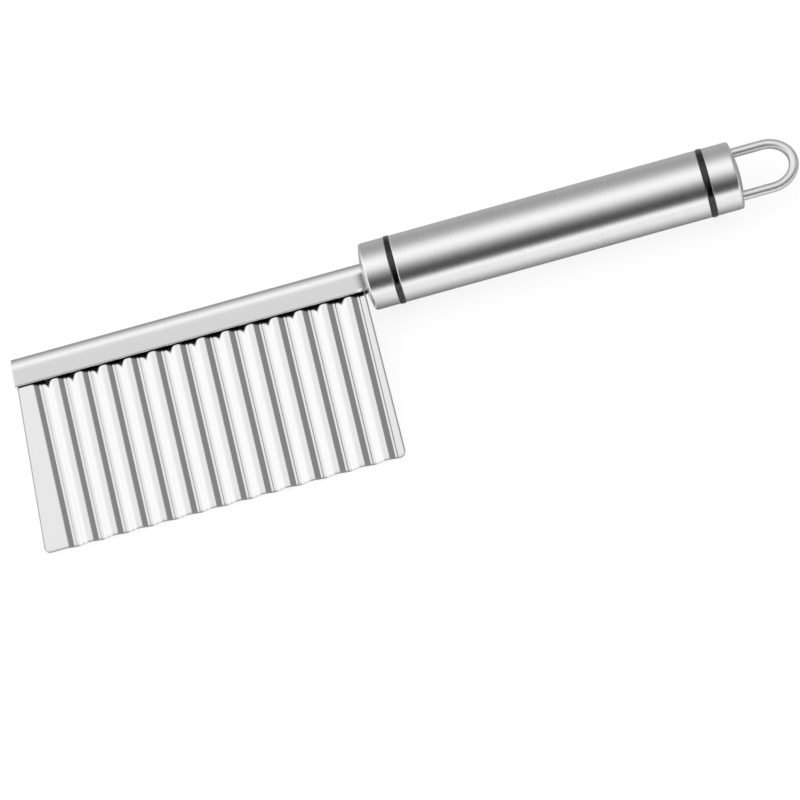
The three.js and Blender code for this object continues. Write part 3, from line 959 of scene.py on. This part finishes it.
def wavy_blade_tree():
    """The tree that sends every point of the slab to its place on the blade."""
    flow, size = new_tree("wavy_blade", blade_sizes)
    slab = blade_slab(flow)
    tip, wave, heel = column_shares(flow, size)
    bottom = cutting_edge(flow, size, tip, heel)
    # rows crowd towards the cutting edge
    up = recalled(flow, SHARE_UP)
    rise = (size["Top"] - bottom) * up * up * up
    height = bottom + rise
    drop = size["Rim"] - height
    tip_line = size["Tip"] - drop * size["Tip slope"]
    crest_line = size["First crest"] - drop * size["Wave slope"]
    trough_line = size["Last trough"] - drop * size["Wave slope"]
    heel_line = size["Heel"] - drop * size["Heel slope"]
    tip_run = tip * (crest_line - tip_line)
    heel_run = (1 - heel) * (heel_line - trough_line)
    place = tip_line + tip_run + wave * (trough_line - crest_line) + heel_line - trough_line - heel_run
    depth, slope = wave_rule(flow, size, wave)
    # the sheet is ground thin from the back, and its front falls off along the sides and the edge
    ground = (rise / size["Bevel"]).ramp(0, 1, "LINEAR")
    thickness = size["Edge sheet"] + ground * (size["Sheet"] - size["Edge sheet"])
    side_band = 1 - (flow.math("MINIMUM", tip_run, heel_run) / size["Side band"]).ramp(0, 1, "LINEAR")
    edge_band = 1 - (rise / size["Edge band"]).ramp(0, 1, "LINEAR")
    fall = flow.math("MAXIMUM", side_band * size["Side fall"], edge_band * size["Edge fall"])
    fall = flow.math("MINIMUM", fall, thickness * MOST_FALL)
    front = recalled(flow, FRONT).ramp(0, 1, "LINEAR")
    offset = size["Sheet"] * 0.5 - front * fall - (1 - front) * thickness
    offset = offset / flow.math("SQRT", slope * slope + 1)
    sockets = {"X": place + offset * slope, "Y": height, "Z": depth + offset}
    point = flow.node("ShaderNodeCombineXYZ", {}, sockets)
    # the edge bands get the rougher ground steel and a darker tone, which is painted shade
    dull_and_shaded_edge = edge_band.ramp(0, FULLY_DULL_AND_SHADED) * size["Edge dullness and shade"]
    dull = flow.math("MAXIMUM", side_band.ramp(0, FULLY_DULL_AND_SHADED), dull_and_shaded_edge)
    slab = stored(flow, slab, GROUND_AND_SHADED_EDGE, front * dull)
    blade = flow.node("GeometryNodeSetPosition", {}, {"Geometry": slab, "Position": point})
    return end_tree(flow, blade, size["Finish"])


blade = grown("wavy_blade", wavy_blade_tree(), blade_sizes, blade_steel)
finished(blade, blade_steel, "blade")

# %% [markdown]
# The loop is one wire: a leg, an oval bend and a second leg, all in the plane of the blade. The path is a
# rule again, so a tree bends a straight line into it: the angle of the bend grows from 0 to half a turn
# while the run along the wire passes the bend, and the legs are what is left on either side. A round
# section is swept along it and both ends are closed.

# %% Hanging loop
LOOP_BEND = 9.7 * MM
LOOP_POINTS = 180
WIRE_SIDES = 32
loop_low, loop_high = measure("hanging_loop")
wire_radius = loop_high.z
loop_sizes = {
    "Leg end": loop_low.x,
    "Bend start": loop_high.x - wire_radius - LOOP_BEND,
    "Bend length": LOOP_BEND,
    "Leg offset": loop_high.y - wire_radius,
    "Wire radius": wire_radius,
}


def wire_loop_tree():
    """The tree that bends a line into the path of the wire and sweeps a round section along it."""
    flow, size = new_tree("wire_loop", loop_sizes)
    line = flow.node("GeometryNodeCurvePrimitiveLine", {}, {"End": (1, 0, 0)})
    line = flow.node("GeometryNodeResampleCurve", {}, {"Curve": line, "Count": LOOP_POINTS})
    leg = size["Bend start"] - size["Leg end"]
    bend = (size["Leg offset"] + size["Bend length"]) * (math.pi / 2)
    run = flow.node("GeometryNodeSplineParameter", output="Factor") * (leg * 2 + bend)
    angle = ((run - leg) / bend).ramp(0, 1, "LINEAR") * math.pi
    before = flow.math("MAXIMUM", leg - run, 0.0)
    after = flow.math("MAXIMUM", run - leg - bend, 0.0)
    point = flow.node("ShaderNodeCombineXYZ", {}, {
        "X": size["Bend start"] + flow.math("SINE", angle) * size["Bend length"] - before - after,
        "Y": flow.math("COSINE", angle) * size["Leg offset"],
    })
    path = flow.node("GeometryNodeSetPosition", {}, {"Geometry": line, "Position": point})
    sockets = {"Resolution": WIRE_SIDES, "Radius": size["Wire radius"]}
    section = flow.node("GeometryNodeCurvePrimitiveCircle", {}, sockets)
    sockets = {"Curve": path, "Profile Curve": section, "Fill Caps": True}
    return end_tree(flow, flow.node("GeometryNodeCurveToMesh", {}, sockets), size["Finish"])


loop = grown("wire_loop", wire_loop_tree(), loop_sizes, wire_steel)
finished(loop, wire_steel, "hanging_loop")

# %% [markdown]
# The tang, its two pins and the two plugs are hidden inside the handle and the spine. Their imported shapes
# are right, so they stay and only get a finish.

# %% Hidden pieces
for node in ("tang", "tang_pin_1", "tang_pin_2"):
    frame["nodes"][node].data.materials.clear()
    frame["nodes"][node].data.materials.append(mill_steel)
for node in ("front_plug", "rear_plug"):
    frame["nodes"][node].data.materials.clear()
    frame["nodes"][node].data.materials.append(black_plastic)
print("hidden pieces keep their packed shapes")

# %% [markdown]
# Last, the box of the finished tool is printed beside the imported one, so that the two can be compared.

# %% Sizes
visual_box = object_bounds()
boxes = {
    "cad": [list(corner) for corner in cad_box],
    "visual": [list(corner) for corner in visual_box],
}
for name, corners in boxes.items():
    print(name, [[round(value / MM, 2) for value in corner] for corner in corners])
